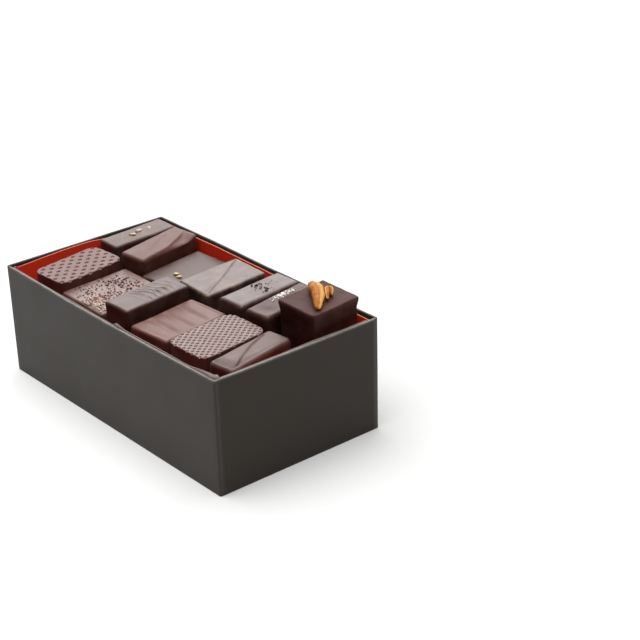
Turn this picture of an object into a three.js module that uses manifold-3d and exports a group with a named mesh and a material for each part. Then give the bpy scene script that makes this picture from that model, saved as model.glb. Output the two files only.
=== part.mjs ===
// An open gift box of chocolate pralines: the lower half of a rigid card box, a loose ring of red card
// standing inside its walls, the lower layers as one plain block, and the thirteen pralines on top.
// Millimetres, +Z up. The origin is the middle of the base, the long front wall faces -Y and +X is the
// right-hand end. A praline's own frame has its origin in the middle of its top face, its length along Y.

import * as THREE from 'three';
import { mergeVertices } from 'three/addons/utils/BufferGeometryUtils.js';
import Module from 'manifold-3d';

const wasm = await Module();
wasm.setup();

// Driving dimensions of the box
const TRAY_LENGTH = 164;
const TRAY_WIDTH = 90;
const TRAY_HEIGHT = 55.2;
const WALL_LEAN = 0.3;
const BOARD = 1.4;
const TRAY_CORNER = 0.9;
const TRAY_EDGE = 0.4;
const FRONT_BOW = 0.9;
const CARD = 0.6;
const CARD_CORNER = 1.6;
const FREE_GAP = 0.3;

// Driving dimensions of the filling
const BED_TOP = 39.5;
const BED_CLEARANCE = 0.5;
const PIECE_CORNER = 1.5;
const PIECE_EDGE = 1.3;
const FOOT_EDGE = 0.6;

const DEGREE = Math.PI / 180;

const box = new THREE.Group();

// Draws repeatable numbers from 0 to 1, so that scattered crumbs land in the same places every time.
function drawFrom(seed) {
  let state = seed;
  return () => {
    state = (state * 1664525 + 1013904223) % 4294967296;
    return state / 4294967296;
  };
}

function meshGeometry(points, faces) {
  const geometry = new THREE.BufferGeometry();
  geometry.setAttribute('position', new THREE.Float32BufferAttribute(points.flat(), 3));
  geometry.setIndex(faces.flat());
  return geometry;
}

// Joins closed rings of equal point counts into one skin. The two end rings are closed by fans, or the
// last ring is joined back to the first, as in a frame.
function loft(rings, backToStart = false) {
  const count = rings[0].length;
  const points = rings.flat();
  const faces = [];
  const strips = backToStart ? rings.length : rings.length - 1;
  for (let k = 0; k < strips; k += 1) {
    const low = k * count;
    const high = ((k + 1) % rings.length) * count;
    for (let i = 0; i < count; i += 1) {
      const j = (i + 1) % count;
      faces.push([low + i, low + j, high + j], [low + i, high + j, high + i]);
    }
  }
  if (!backToStart) {
    for (const last of [false, true]) {
      const ring = last ? rings[rings.length - 1] : rings[0];
      const start = last ? (rings.length - 1) * count : 0;
      const middle = [0, 1, 2].map((axis) => ring.reduce((sum, p) => sum + p[axis], 0) / count);
      const centre = points.push(middle) - 1;
      for (let i = 0; i < count; i += 1) {
        const j = (i + 1) % count;
        faces.push(last ? [centre, start + i, start + j] : [centre, start + j, start + i]);
      }
    }
  }
  return meshGeometry(points, faces);
}

// Pulls a point of a rectangle's corner square onto the quarter disc that rounds the corner.
function roundCorner(x, y, halfX, halfY, radius) {
  const innerX = Math.min(Math.max(x, radius - halfX), halfX - radius);
  const innerY = Math.min(Math.max(y, radius - halfY), halfY - radius);
  const dx = x - innerX;
  const dy = y - innerY;
  const far = Math.hypot(dx, dy);
  const pull = far > 0 ? Math.max(Math.abs(dx), Math.abs(dy)) / far : 1;
  return [innerX + dx * pull, innerY + dy * pull];
}

// A ring of points round a rectangle with rounded corners, at one height.
function rectangleRing(halfX, halfY, radius, z, steps = 3) {
  const ring = [];
  const corners = [[1, -1, -90], [1, 1, 0], [-1, 1, 90], [-1, -1, 180]];
  for (const [sideX, sideY, start] of corners) {
    for (let k = 0; k <= steps; k += 1) {
      const angle = (start + 90 * k / steps) * DEGREE;
      ring.push([
        sideX * (halfX - radius) + radius * Math.cos(angle),
        sideY * (halfY - radius) + radius * Math.sin(angle),
        z,
      ]);
    }
  }
  return ring;
}

function solidOf(geometry) {
  geometry.deleteAttribute('normal');
  geometry.deleteAttribute('uv');
  const merged = mergeVertices(geometry, 1e-4);
  return new wasm.Manifold(new wasm.Mesh({
    numProp: 3,
    vertProperties: new Float32Array(merged.attributes.position.array),
    triVerts: new Uint32Array(merged.index.array),
  }));
}

function geometryOf(solid) {
  const mesh = solid.getMesh();
  const geometry = new THREE.BufferGeometry();
  geometry.setAttribute('position', new THREE.BufferAttribute(mesh.vertProperties, 3));
  geometry.setIndex(new THREE.BufferAttribute(mesh.triVerts, 1));
  return geometry;
}

function withAdded(geometry, extras) {
  return geometryOf(extras.reduce((sum, extra) => sum.add(solidOf(extra)), solidOf(geometry)));
}

function withCut(geometry, extras) {
  return geometryOf(extras.reduce((sum, extra) => sum.subtract(solidOf(extra)), solidOf(geometry)));
}

function addPiece(name, geometry, material) {
  const mesh = new THREE.Mesh(geometry, material);
  mesh.name = name;
  box.add(mesh);
  return mesh;
}

// How far the long front wall bulges out, most in the middle of its rim.
function frontBulge(x, z) {
  return FRONT_BOW * Math.max(0, 1 - (x / (TRAY_LENGTH / 2)) ** 2) * z / TRAY_HEIGHT;
}

// The lower half of the box: greyboard walls and floor covered with dark paper, in one piece. The walls
// lean out a little towards the rim, and the long front one bulges.
function makeTray() {
  const foot = [TRAY_LENGTH / 2, TRAY_WIDTH / 2];
  const frontSteps = 8;
  const outer = (z, inset) => {
    const lean = WALL_LEAN * z / TRAY_HEIGHT;
    const halfX = foot[0] + lean - inset;
    const halfY = foot[1] + lean - inset;
    const ring = rectangleRing(halfX, halfY, TRAY_CORNER, z);
    for (let k = 1; k < frontSteps; k += 1) {
      const x = (halfX - TRAY_CORNER) * (2 * k / frontSteps - 1);
      ring.push([x, -halfY - frontBulge(x, z), z]);
    }
    return ring;
  };
  const floorTop = BOARD;
  const geometry = loft([
    outer(0, TRAY_EDGE),
    outer(TRAY_EDGE, 0),
    outer(TRAY_HEIGHT - TRAY_EDGE, 0),
    outer(TRAY_HEIGHT, TRAY_EDGE),
    outer(TRAY_HEIGHT, BOARD - TRAY_EDGE),
    outer(TRAY_HEIGHT - TRAY_EDGE, BOARD),
    outer(floorTop, BOARD),
  ]);
  addPiece('tray', geometry, new THREE.MeshStandardMaterial({ color: 0x4b4845, roughness: 0.75 }));
}

// Height of the red card's top edge against the tray's rim, by the wall that it stands at. At the front
// a bent tab sticks up near the middle, and the edge climbs towards the right-hand corner.
const TAB = { x: 9, left: 3, right: 7, height: 2.0 };
const CLIMB = { from: 66, to: 80, height: 2.3 };

function cardTop(x, y) {
  const halfX = TRAY_LENGTH / 2;
  const along = x / halfX;
  const nearFront = y < -TRAY_WIDTH / 2 + 4;
  const nearBack = y > TRAY_WIDTH / 2 - 4;
  const across = y / (TRAY_WIDTH / 2);
  if (nearFront) {
    const tab = TAB.height * Math.max(0, 1 - Math.abs(x - TAB.x) / (x < TAB.x ? TAB.left : TAB.right));
    return -0.9 + tab + CLIMB.height * THREE.MathUtils.smoothstep(x, CLIMB.from, CLIMB.to);
  }
  if (nearBack) {
    return -1.35 - 0.45 * along;
  }
  if (x < 0) {
    return -0.4 - 1.5 * Math.max(0, -across) ** 2;
  }
  return -0.5;
}

// The lining: a loose ring of thin card, red inside, standing on the floor against the walls. Its front
// follows the bulge of the wall.
function makeLining() {
  const halfX = TRAY_LENGTH / 2 - BOARD - FREE_GAP;
  const halfY = TRAY_WIDTH / 2 - BOARD - FREE_GAP;
  const outline = [];
  const corners = [[1, -1, -90], [1, 1, 0], [-1, 1, 90], [-1, -1, 180]];
  const evenParts = (steps) => Array.from({ length: steps }, (_, k) => k / steps);
  const frontStops = [-60, -40, -20, 0, TAB.x - TAB.left, TAB.x, TAB.x + TAB.right, 30, 48, 66, 70, 73, 76];
  const frontParts = frontStops.map((x) => (x / (halfX - CARD_CORNER) + 1) / 2);
  const parts = [evenParts(8), evenParts(16), evenParts(8), [0, ...frontParts]];
  for (const [index, [sideX, sideY, start]] of corners.entries()) {
    for (const turn of [start, start + 45]) {
      outline.push([sideX, sideY, turn * DEGREE, 0]);
    }
    for (const part of parts[index]) {
      outline.push([sideX, sideY, (start + 90) * DEGREE, part]);
    }
  }
  const place = (inset, height) => outline.map(([sideX, sideY, turn, part]) => {
    const radius = CARD_CORNER - inset;
    const reachX = halfX - CARD_CORNER;
    const reachY = halfY - CARD_CORNER;
    const runs = part > 0;
    const turned = Math.round(turn / (90 * DEGREE));
    const nextX = turned % 2 === 0 ? sideX : -sideX;
    const nextY = turned % 2 === 0 ? -sideY : sideY;
    const baseX = sideX * reachX + (runs ? part * (nextX - sideX) * reachX : 0);
    const baseY = sideY * reachY + (runs ? part * (nextY - sideY) * reachY : 0);
    const x = baseX + radius * Math.cos(turn);
    const y = baseY + radius * Math.sin(turn);
    const z = height(x, y);
    return [x, y < inset - halfY + 0.01 ? y - frontBulge(x, z) : y, z];
  });
  const foot = () => BOARD + FREE_GAP;
  const top = (x, y) => TRAY_HEIGHT + cardTop(x, y);
  const geometry = loft([place(0, foot), place(0, top), place(CARD, top), place(CARD, foot)], true);
  addPiece('lining', geometry, new THREE.MeshStandardMaterial({ color: 0xb0281a, roughness: 0.6 }));
}

// The layers below the ones that show, as one plain block from the tray's floor up.
function makeLowerLayers() {
  const halfX = TRAY_LENGTH / 2 - BOARD - FREE_GAP - CARD - BED_CLEARANCE;
  const halfY = TRAY_WIDTH / 2 - BOARD - FREE_GAP - CARD - BED_CLEARANCE;
  const foot = BOARD + FREE_GAP;
  const geometry = loft([
    rectangleRing(halfX, halfY, PIECE_CORNER, foot, 1),
    rectangleRing(halfX, halfY, PIECE_CORNER, BED_TOP, 1),
  ]);
  addPiece('lower_layers', geometry, new THREE.MeshStandardMaterial({ color: 0x1d110f, roughness: 0.5 }));
}

// Grid lines across a plain top: one in each rounded corner square and even ones between.
function plainLines(half, corner, inner) {
  const edge = 1 - corner / half;
  const lines = [-1];
  for (let k = 0; k <= inner; k += 1) {
    lines.push(-edge + 2 * edge * k / inner);
  }
  lines.push(1);
  return lines;
}

// Grid lines that keep step with a pattern: an even count of equal parts.
function evenLines(parts) {
  return Array.from({ length: parts + 1 }, (_, k) => -1 + 2 * k / parts);
}

// One praline: straight sides on a rounded rectangle, rounded top edges, and a top face whose height is
// given by relief(x, y). Where a cell of the top is split, the split follows its higher diagonal.
function pralineBody(shape) {
  const halfX = shape.width / 2;
  const halfY = shape.length / 2;
  const edge = shape.edge ?? PIECE_EDGE;
  const corner = shape.corner ?? PIECE_CORNER;
  const linesX = shape.linesX ?? plainLines(halfX, corner, 3);
  const linesY = shape.linesY ?? plainLines(halfY, corner, 4);
  const relief = shape.relief ?? (() => 0);
  const lastX = linesX.length - 1;
  const lastY = linesY.length - 1;
  const place = (i, j, inset, z) => {
    const radius = Math.max(corner - inset, 0.3);
    const reachX = halfX - inset;
    const reachY = halfY - inset;
    const [x, y] = roundCorner(linesX[i] * reachX, linesY[j] * reachY, reachX, reachY, radius);
    return [x, y, z];
  };
  const border = [];
  for (let i = 0; i < lastX; i += 1) border.push([i, 0]);
  for (let j = 0; j < lastY; j += 1) border.push([lastX, j]);
  for (let i = lastX; i > 0; i -= 1) border.push([i, lastY]);
  for (let j = lastY; j > 0; j -= 1) border.push([0, j]);
  const shoulder = edge * (1 - Math.SQRT1_2);
  const levels = [
    [FOOT_EDGE, -shape.height],
    [0, FOOT_EDGE - shape.height],
    [0, -edge],
    [shoulder, -shoulder],
  ];
  const points = levels.flatMap(([inset, z]) => border.map(([i, j]) => place(i, j, inset, z)));
  const topStart = points.length;
  const across = lastX + 1;
  for (let j = 0; j <= lastY; j += 1) {
    for (let i = 0; i <= lastX; i += 1) {
      const [x, y] = place(i, j, edge, 0);
      points.push([x, y, relief(x, y)]);
    }
  }
  const faces = [];
  const count = border.length;
  const pointOf = (level, k) => {
    if (level < levels.length) return level * count + k;
    const [i, j] = border[k];
    return topStart + j * across + i;
  };
  for (let level = 0; level < levels.length; level += 1) {
    for (let k = 0; k < count; k += 1) {
      const next = (k + 1) % count;
      const [a, b] = [pointOf(level, k), pointOf(level, next)];
      const [c, d] = [pointOf(level + 1, next), pointOf(level + 1, k)];
      faces.push([a, b, c], [a, c, d]);
    }
  }
  for (let j = 0; j < lastY; j += 1) {
    for (let i = 0; i < lastX; i += 1) {
      const a = topStart + j * across + i;
      const [b, c, d] = [a + 1, a + 1 + across, a + across];
      if (points[a][2] + points[c][2] >= points[b][2] + points[d][2]) {
        faces.push([a, b, c], [a, c, d]);
      } else {
        faces.push([a, b, d], [b, c, d]);
      }
    }
  }
  const centre = points.push([0, 0, -shape.height]) - 1;
  for (let k = 0; k < count; k += 1) {
    faces.push([centre, (k + 1) % count, k]);
  }
  return meshGeometry(points, faces);
}

// Height from the bed to the top face, less what the tips take up, so that no lower corner sinks in.
function heightOver(shape) {
  const drop = shape.length / 2 * Math.sin(Math.abs(shape.tip[0]) * DEGREE)
    + shape.width / 2 * Math.sin(Math.abs(shape.tip[1]) * DEGREE);
  return shape.top - BED_TOP - FREE_GAP - drop;
}

// Lays a praline in its place: x and y of its middle, the height of its top, its turn about the upright
// and how it is tipped about its own X and Y.
function layPraline(name, shape, geometry, color, roughness) {
  const mesh = addPiece(name, geometry, new THREE.MeshStandardMaterial({ color, roughness }));
  mesh.position.set(shape.x, shape.y, shape.top);
  mesh.rotation.order = 'ZXY';
  mesh.rotation.set(shape.tip[0] * DEGREE, shape.tip[1] * DEGREE, shape.turn * DEGREE);
  return mesh;
}

// A thin strip with a diamond section and pointed ends. Added to a face it leaves a low ridge, and cut
// from it a groove.
function crease(route, halfWidth, halfHeight) {
  const rings = route.map(([x, y], k) => {
    const before = route[Math.max(k - 1, 0)];
    const after = route[Math.min(k + 1, route.length - 1)];
    const angle = Math.atan2(after[1] - before[1], after[0] - before[0]);
    const fade = k === 0 || k === route.length - 1 ? 0.15 : 1;
    const sideX = -Math.sin(angle) * halfWidth * fade;
    const sideY = Math.cos(angle) * halfWidth * fade;
    return [
      [x + sideX, y + sideY, 0],
      [x, y, halfHeight * fade],
      [x - sideX, y - sideY, 0],
      [x, y, -halfHeight * fade],
    ];
  });
  return loft(rings);
}

// A small uneven lump, for a seed, nib, crystal or crumb.
function lump(x, y, z, sizes, turn, faces = 0) {
  const shape = faces === 0 ? new THREE.OctahedronGeometry(1) : new THREE.IcosahedronGeometry(1);
  shape.scale(...sizes);
  shape.rotateZ(turn);
  shape.translate(x, y, z);
  return shape;
}

// Lumps scattered over a patch of a top face, thickest round the patch's middle.
function scatter(seed, count, patch, size) {
  const draw = drawFrom(seed);
  const lumps = [];
  const taken = [];
  while (lumps.length < count && taken.length < 4000) {
    const spread = () => draw() + draw() - 1;
    const x = patch.x + patch.reachX * spread();
    const y = patch.y + patch.reachY * spread();
    const r = size[0] + (size[1] - size[0]) * draw();
    const free = taken.every(([u, v]) => Math.hypot(u - x, v - y) > patch.apart);
    taken.push([x, y]);
    if (free && Math.abs(x) < patch.limitX && Math.abs(y) < patch.limitY) {
      lumps.push(lump(x, y, r * 0.25, [r * 1.3, r, r * 0.8], Math.PI * draw()));
    }
  }
  return lumps;
}

// Front row, from the left: a slab with rounded corners and rows of small dents.
function makeDottedSlab() {
  const shape = { x: -63.5, y: -16.6, top: 52.9, turn: 5.6, tip: [1.5, 1.1], width: 21.8, length: 37.2 };
  shape.height = heightOver(shape);
  shape.corner = 5;
  shape.edge = 0.7;
  shape.linesX = evenLines(18);
  shape.linesY = evenLines(24);
  const pitchAlong = (shape.length - 2 * shape.edge) / 6;
  const pitchAcross = (shape.width - 2 * shape.edge) / 4.5;
  const dent = 0.45;
  shape.relief = (x, y) => {
    const stepY = Math.cos(2 * Math.PI * (y / pitchAlong + 0.5));
    const stepX = Math.cos(2 * Math.PI * (x / pitchAcross + 0.25));
    return -dent * Math.max(0, stepX * stepY);
  };
  layPraline('praline_dotted_slab', shape, pralineBody(shape), 0x4a3330, 0.35);
}

// A square praline sprinkled with cocoa nibs, with pale crumbs heaped at its front corner.
function makeNibSquare() {
  const shape = { x: -34.9, y: -16.3, top: 48.7, turn: 0.4, tip: [2.0, 0.7], width: 33, length: 36.6 };
  shape.height = heightOver(shape);
  const limit = { limitX: shape.width / 2 - 1.6, limitY: shape.length / 2 - 1.6 };
  const nibs = scatter(11, 62, { x: 0, y: -3, reachX: 17, reachY: 19, apart: 1.7, ...limit }, [0.4, 0.75]);
  const crumbs = scatter(23, 26, { x: 11, y: -13, reachX: 8, reachY: 7, apart: 1.15, ...limit }, [0.5, 0.9]);
  const geometry = withAdded(pralineBody(shape), [...nibs, ...crumbs]);
  layPraline('praline_nib_square', shape, geometry, 0x5a4540, 0.4);
}

// A bar whose top is smooth at the front end and drawn into curved ripples towards the back.
function makeRippledBar() {
  const shape = { x: -5.8, y: -16.9, top: 57.2, turn: 3.2, tip: [1.5, 1.2], width: 16.2, length: 36.3 };
  shape.height = heightOver(shape);
  shape.linesX = plainLines(shape.width / 2, PIECE_CORNER, 5);
  shape.linesY = evenLines(28);
  const pitch = 4.6;
  const ripple = 0.32;
  const halfX = shape.width / 2 - PIECE_EDGE;
  const halfY = shape.length / 2 - PIECE_EDGE;
  shape.relief = (x, y) => {
    const starts = Math.min(Math.max((y + 8) / 6, 0), 1);
    const inside = Math.max(0, 1 - (x / halfX) ** 4) * Math.max(0, 1 - (y / halfY) ** 8);
    const bent = y + 0.035 * (x - 4) ** 2;
    return ripple * starts * inside * Math.sin(2 * Math.PI * bent / pitch);
  };
  layPraline('praline_rippled_bar', shape, pralineBody(shape), 0x3f2c2a, 0.35);
}

// A reddish praline with four broad soft ribs across it.
function makeRibbed() {
  const shape = { x: 16.9, y: -15.9, top: 51.4, turn: 6.0, tip: [0.8, 0.8], width: 24.2, length: 37 };
  shape.height = heightOver(shape);
  shape.linesX = plainLines(shape.width / 2, PIECE_CORNER, 4);
  shape.linesY = evenLines(24);
  const halfX = shape.width / 2 - PIECE_EDGE;
  const halfY = shape.length / 2 - PIECE_EDGE;
  const ribs = 4;
  const valley = 0.55;
  shape.relief = (x, y) => {
    const phase = Math.cos(Math.PI * ribs * (y / halfY + 1) / 2);
    const inside = Math.max(0, 1 - (x / halfX) ** 6) * Math.max(0, 1 - (y / halfY) ** 12);
    return -valley * inside * phase ** 4;
  };
  layPraline('praline_ribbed', shape, pralineBody(shape), 0x5b3d38, 0.35);
}

// A slab with rounded corners and a fine net of dents pressed in its top.
function makeWaffleSlab() {
  const shape = { x: 45.2, y: -15.7, top: 53.5, turn: 4.6, tip: [1.6, 1.6], width: 24.8, length: 36.9 };
  shape.height = heightOver(shape);
  shape.corner = 4.5;
  shape.edge = 0.7;
  const cellsX = 18;
  const cellsY = 22;
  shape.linesX = evenLines(cellsX);
  shape.linesY = evenLines(cellsY);
  const dent = 0.4;
  const halfX = shape.width / 2 - shape.edge;
  const halfY = shape.length / 2 - shape.edge;
  shape.relief = (x, y) => {
    const stepX = Math.cos(Math.PI * cellsX * (x / halfX + 1) / 2);
    const stepY = Math.cos(Math.PI * cellsY * (y / halfY + 1) / 2);
    const inside = Math.abs(x) < halfX * 0.99 && Math.abs(y) < halfY * 0.99;
    return inside ? -dent * Math.max(0, stepX * stepY) : 0;
  };
  layPraline('praline_waffle_slab', shape, pralineBody(shape), 0x583f3c, 0.35);
}

// A soft-edged bar with one raised line from its front right to its back left.
function makeLineBar() {
  const shape = { x: 66.1, y: -13.4, top: 53.5, turn: 9.1, tip: [1.3, 1.1], width: 14.2, length: 38.6 };
  shape.height = heightOver(shape);
  shape.edge = 2.2;
  shape.corner = 2.6;
  const line = crease([[4.4, -15.5], [3.4, -8], [0.6, 0], [-2.6, 8], [-4.4, 15]], 0.55, 0.4);
  layPraline('praline_line_bar', shape, withAdded(pralineBody(shape), [line]), 0x3f2a28, 0.35);
}

// Back row, from the left: a low bar with three cream flecks.
function makeFleckBar() {
  const shape = { x: -71.4, y: 23.4, top: 55.1, turn: 1.6, tip: [1.2, 1.0], width: 13.4, length: 36.4 };
  shape.height = heightOver(shape);
  const flecks = [
    lump(0.4, -3.4, 0.1, [1.3, 1.0, 0.8], 0.4, 1),
    lump(-1.2, 1.4, 0.1, [1.1, 1.6, 0.8], 0.2, 1),
    lump(-1.4, 6.6, 0.1, [0.8, 1.1, 0.6], 1.1, 1),
  ];
  layPraline('praline_fleck_bar', shape, withAdded(pralineBody(shape), flecks), 0x463330, 0.4);
}

// A reddish bar with a swept crease: its right-hand side falls away from the crease.
function makeSweptBar() {
  const shape = { x: -51.5, y: 22.0, top: 56.6, turn: 10.1, tip: [1.9, 1.7], width: 16, length: 38.2 };
  shape.height = heightOver(shape);
  shape.edge = 1.8;
  shape.corner = 2.4;
  shape.linesX = plainLines(shape.width / 2, shape.corner, 8);
  shape.linesY = plainLines(shape.length / 2, shape.corner, 12);
  const halfX = shape.width / 2 - shape.edge;
  const halfY = shape.length / 2 - shape.edge;
  shape.relief = (x, y) => {
    const creaseX = halfX * (0.55 - 0.75 * (y / halfY + 1) / 2);
    const past = Math.max(0, x - creaseX);
    const inside = Math.max(0, 1 - (x / halfX) ** 8) * Math.max(0, 1 - (y / halfY) ** 8);
    return -0.16 * past * inside - 0.05 * past;
  };
  const ridges = [
    crease([[4.2, -15], [2.4, -5], [-0.6, 6], [-2, 15]], 0.45, 0.3),
    crease([[1.6, -13], [-0.6, -3], [-3, 8]], 0.35, 0.25),
  ];
  layPraline('praline_swept_bar', shape, withAdded(pralineBody(shape), ridges), 0x5a3d37, 0.35);
}

// A low smooth slab with two pale seeds and one tiny dimple.
function makeSeedSlab() {
  const shape = { x: -29.9, y: 22.2, top: 49.4, turn: 7.0, tip: [1.6, 1.4], width: 23.4, length: 37 };
  shape.height = heightOver(shape);
  const seeds = [
    lump(0.9, -7.9, 0.25, [1.45, 0.85, 0.75], 0.75, 1),
    lump(3.3, -7.2, 0.25, [1.45, 0.85, 0.75], 0.85, 1),
  ];
  layPraline('praline_seed_slab', shape, withAdded(pralineBody(shape), seeds), 0x4c3936, 0.35);
}

// A praline with one fine line pressed from corner to corner, split in two near its front end.
function makeDiagonal() {
  const shape = { x: -0.8, y: 22.1, top: 55.1, turn: 0, tip: [2.6, 1.5], width: 22.6, length: 34.2 };
  shape.height = heightOver(shape);
  const lines = [
    crease([[9.4, -15.2], [5.2, -8], [0, 1], [-5.2, 9], [-9.2, 15.2]], 0.5, 0.35),
    crease([[7.2, -15.2], [4.6, -10], [2.2, -4.5]], 0.35, 0.25),
  ];
  layPraline('praline_diagonal', shape, withCut(pralineBody(shape), lines), 0x453330, 0.35);
}

// A narrow bar with a pinch of dark crystals.
function makeCrystalBar() {
  const shape = { x: 25.7, y: 23.3, top: 57.2, turn: 3.8, tip: [1.4, 1.1], width: 15.4, length: 36.4 };
  shape.height = heightOver(shape);
  const pinch = { x: -0.6, y: 1.6, reachX: 3.2, reachY: 7, apart: 1.5, limitX: 5.6, limitY: 15 };
  const crystals = scatter(5, 12, pinch, [0.5, 0.8]);
  const geometry = withAdded(pralineBody(shape), crystals);
  layPraline('praline_crystal_bar', shape, geometry, 0x403030, 0.35);
}

// A narrow bar with white salt heaped along its middle, and a dip in its front end.
function makeSaltBar() {
  const shape = { x: 43.7, y: 23.1, top: 58, turn: 7.4, tip: [1.6, 1.4], width: 14.4, length: 36 };
  shape.height = heightOver(shape);
  shape.linesX = plainLines(shape.width / 2, PIECE_CORNER, 4);
  shape.linesY = plainLines(shape.length / 2, PIECE_CORNER, 8);
  shape.relief = (x, y) => -0.5 * Math.exp(-(((x - 1) / 3.5) ** 2) - ((y + 12) / 3) ** 2);
  const heap = { x: -2, y: 3.5, reachX: 3.2, reachY: 9.5, apart: 1.15, limitX: 5.2, limitY: 15 };
  const salt = scatter(31, 24, heap, [0.45, 0.8]);
  const geometry = withAdded(pralineBody(shape), salt);
  layPraline('praline_salt_bar', shape, geometry, 0x3c2a28, 0.35);
}

// The tall cube praline, which stands above the rim. Its top sags, and its back left corner is raised.
const CUBE = { x: 64.7, y: 25.8, top: 65, turn: 1.8, tip: [1.8, 1.35], width: 24.3, length: 27.4 };

function makeCube() {
  CUBE.height = heightOver(CUBE);
  CUBE.edge = 1.0;
  CUBE.linesX = plainLines(CUBE.width / 2, PIECE_CORNER, 4);
  CUBE.linesY = plainLines(CUBE.length / 2, PIECE_CORNER, 4);
  const sag = (x, y) => 0.35 * Math.cos(Math.PI * x / CUBE.width) * Math.cos(Math.PI * y / CUBE.length);
  const lift = (x, y) => 0.5 * ((0.5 - x / CUBE.width) * (0.5 + y / CUBE.length)) ** 3;
  CUBE.relief = (x, y) => lift(x, y) - sag(x, y);
  layPraline('praline_cube', CUBE, pralineBody(CUBE), 0x432e2b, 0.4);
}

// A ring of points for a nut's cross-section. The section faces along the nut and has a groove on top.
function nutSection(route, k, section) {
  const before = route[Math.max(k - 1, 0)];
  const after = route[Math.min(k + 1, route.length - 1)];
  const along = new THREE.Vector3(...after).sub(new THREE.Vector3(...before)).normalize();
  const side = new THREE.Vector3(0, 0, 1).cross(along).normalize();
  const over = along.clone().cross(side);
  const [halfWidth, halfHeight, groove] = section;
  const sides = 12;
  return Array.from({ length: sides }, (_, i) => {
    const angle = 2 * Math.PI * i / sides;
    const dent = 1 - groove * Math.max(0, Math.sin(angle)) ** 6;
    return new THREE.Vector3(...route[k])
      .addScaledVector(side, Math.cos(angle) * halfWidth)
      .addScaledVector(over, Math.sin(angle) * halfHeight * dent)
      .toArray();
  });
}

// Two pieces of caramelised nut on the cube: a long grooved one that tapers to the front, and a small
// hooked one beside it.
function makeNuts() {
  const material = { color: 0xc98a3c, roughness: 0.35 };
  const rest = FREE_GAP;
  const long = [
    [-9.2, 5.6], [-7.9, 4.6], [-4.9, 2.8], [-1.1, 0.4], [2.8, -2.3], [6.1, -5.3], [8.6, -7.8], [9.4, -8.6],
  ];
  const widths = [1.5, 2.75, 3.0, 3.1, 2.75, 1.85, 1.2, 0.75];
  const heights = [0.9, 1.8, 2.2, 2.1, 1.9, 1.5, 1.0, 0.6];
  const longRoute = long.map(([x, y], k) => [x, y, heights[k] + rest + 0.1]);
  const longRings = long.map((_, k) => nutSection(longRoute, k, [widths[k], heights[k], 0.45]));
  const hook = [[5.5, 0.8], [3.9, 2.3], [1.6, 4.4], [-0.9, 6.7], [0.3, 8.5], [2.2, 7.5], [3.9, 5.7]];
  const girths = [0.5, 0.8, 1.05, 1.15, 1.05, 0.8, 0.45];
  const hookRoute = hook.map(([x, y], k) => [x, y, girths[k] * 1.15 + rest + 0.1]);
  const hookRings = hook.map((_, k) => nutSection(hookRoute, k, [girths[k], girths[k] * 1.15, 0.3]));
  const pieces = [['nut_large', longRings], ['nut_small', hookRings]];
  for (const [name, rings] of pieces) {
    layPraline(name, CUBE, loft(rings.map((ring) => ring.slice())), material.color, material.roughness);
  }
}

makeTray();
makeLining();
makeLowerLayers();
makeDottedSlab();
makeNibSquare();
makeRippledBar();
makeRibbed();
makeWaffleSlab();
makeLineBar();
makeFleckBar();
makeSweptBar();
makeSeedSlab();
makeDiagonal();
makeCrystalBar();
makeSaltBar();
makeCube();
makeNuts();

export default box;
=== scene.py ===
# An open gift box of chocolate pralines on a pale studio floor: the paper-covered tray, its loose red
# lining and the thirteen pralines that show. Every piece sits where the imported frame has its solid.
# A praline's own axes start in the middle of its top face, with its length along Y, in millimetres.

import math

import bmesh
import bpy
import numpy as np
from mathutils import Euler, Matrix, Vector


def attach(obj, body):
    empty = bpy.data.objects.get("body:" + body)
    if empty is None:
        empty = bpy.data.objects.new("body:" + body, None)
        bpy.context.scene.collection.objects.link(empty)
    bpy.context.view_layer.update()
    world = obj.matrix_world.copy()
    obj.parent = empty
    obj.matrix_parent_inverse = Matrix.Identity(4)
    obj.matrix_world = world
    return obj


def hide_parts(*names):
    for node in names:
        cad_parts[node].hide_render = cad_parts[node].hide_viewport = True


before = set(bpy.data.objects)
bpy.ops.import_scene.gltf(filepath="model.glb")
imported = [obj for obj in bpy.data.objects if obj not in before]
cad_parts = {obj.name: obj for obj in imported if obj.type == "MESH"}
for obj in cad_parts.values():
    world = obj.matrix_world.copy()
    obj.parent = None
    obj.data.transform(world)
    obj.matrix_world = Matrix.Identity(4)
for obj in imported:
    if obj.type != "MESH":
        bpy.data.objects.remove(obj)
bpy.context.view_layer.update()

# The camera stands off the near corner with a long lens, a little above the rim. Its place, turns and
# lens were solved from the eight corners of the box.
MM = 0.001
PICTURE = 640
FOCAL_PIXELS = 1746.19
SENSOR = 36
EYE = Vector((602.6, -414.2, 384.5)) * MM
YAW = math.radians(50.6745)
PITCH = math.radians(25.4232)
ROLL = math.radians(-1.6758)

level = Vector((math.cos(YAW), math.sin(YAW), 0))
ahead = Vector((-math.sin(YAW) * math.cos(PITCH), math.cos(YAW) * math.cos(PITCH), -math.sin(PITCH)))
over = level.cross(ahead)
right = level * math.cos(ROLL) + over * math.sin(ROLL)
up = over * math.cos(ROLL) - level * math.sin(ROLL)
lens = bpy.data.cameras.new("camera")
lens.sensor_width = SENSOR
lens.lens = FOCAL_PIXELS / PICTURE * SENSOR
camera = bpy.data.objects.new("camera", lens)
camera.matrix_world = Matrix.Translation(EYE) @ Matrix((right, up, -ahead)).transposed().to_4x4()
bpy.context.scene.collection.objects.link(camera)
bpy.context.scene.camera = camera
bpy.context.scene.view_settings.view_transform = "Standard"


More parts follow.
